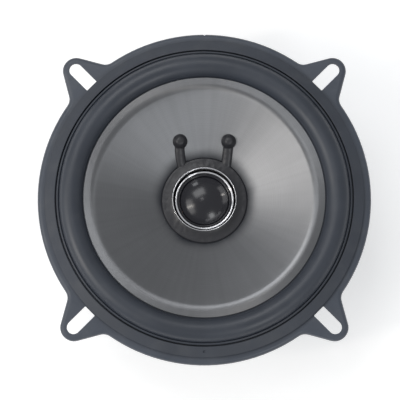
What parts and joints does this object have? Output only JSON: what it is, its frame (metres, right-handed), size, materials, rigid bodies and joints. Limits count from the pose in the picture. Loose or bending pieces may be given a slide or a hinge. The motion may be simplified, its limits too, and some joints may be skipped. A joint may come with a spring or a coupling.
{
  "type": "coaxial car speaker",
  "caption": "Round car loudspeaker with a slotted four-eared flange, rubber surround, silvered cone and a domed tweeter on the pole, working cone and dome travel.",
  "frame": {"origin": "centre of the magnet assembly's flat back, bottom centre of the box", "axes": "+Z along the speaker's axis towards the listener, +Y towards the terminal board, ears at 45 degrees to X and Y"},
  "size_m": [0.13, 0.13, 0.0568],
  "materials": {
    "black_paint": "satin",
    "gasket": "matte",
    "rubber": "satin",
    "spider_cloth": "matte",
    "plated_steel": "satin",
    "ferrite": "satin",
    "cone_skin": "satin",
    "bright_aluminium": "polished",
    "copper": "satin",
    "collar_paper": "matte",
    "black_cement": "satin",
    "brass": "satin",
    "tinsel": "satin",
    "tweeter_steel": "satin",
    "nickel": "polished",
    "felt": "matte",
    "dome_gloss": "gloss",
    "black_plastic": "matte",
    "bright_trim": "polished",
    "board_fibre": "matte",
    "tin_plate": "satin",
    "post_aluminium": "satin",
    "wire_black": "satin",
    "wire_red": "satin",
    "solder": "gloss",
    "capacitor_sleeve": "gloss",
    "clear_glue": "gloss",
    "shrink_sleeve": "satin"
  },
  "bodies": {
    "chassis": {"basket": "black_paint", "board_rivet": "brass", "capacitor": "capacitor_sleeve", "capacitor_leads": "tin_plate", "capacitor_pad": "clear_glue", "diaphragm_ring": "black_plastic", "gasket_ring": "gasket", "post_nut": "plated_steel", "post_washer": "plated_steel", "ring_magnet": "ferrite", "solder_joints": "solder", "spade_narrow": "tin_plate", "spade_rivets": "brass", "spade_wide": "tin_plate", "spider": "spider_cloth", "splice_sleeve": "shrink_sleeve", "staking_rivets": "plated_steel", "surround": "rubber", "terminal_board": "board_fibre", "tinsel_lead_left": "tinsel", "tinsel_lead_right": "tinsel", "top_plate": "plated_steel", "trim_ring": "bright_trim", "tweeter_cup": "tweeter_steel", "tweeter_damping_pad": "felt", "tweeter_magnet": "nickel", "tweeter_pole_plate": "plated_steel", "tweeter_post": "post_aluminium", "tweeter_surround": "dome_gloss", "tweeter_tags": "tin_plate", "tweeter_wafer": "board_fibre", "tweeter_wire_plain": "wire_black", "tweeter_wire_striped": "wire_red", "yoke": "plated_steel"},
    "cone_assembly": {"cone": "cone_skin", "voice_coil_former": "bright_aluminium", "voice_coil_winding": "copper", "spider_collar": "collar_paper", "neck_ring": "black_cement", "lead_track_left": "black_cement", "lead_track_right": "black_cement", "cone_eyelets": "brass"},
    "tweeter_diaphragm": {"tweeter_dome": "dome_gloss", "tweeter_former": "bright_aluminium", "tweeter_winding": "copper"}
  },
  "joints": [
    {"name": "cone_travel", "type": "slide", "parent": "chassis", "child": "cone_assembly", "axis": [0, 0, 1], "range_m": [-0.004, 0.004], "stiffness_N_per_m": 1800, "deforming": ["surround", "spider", "tinsel_lead_left", "tinsel_lead_right"]},
    {"name": "dome_travel", "type": "slide", "parent": "chassis", "child": "tweeter_diaphragm", "axis": [0, 0, 1], "range_m": [-0.0003, 0.0003], "stiffness_N_per_m": 9000, "deforming": ["tweeter_surround"]}
  ]
}
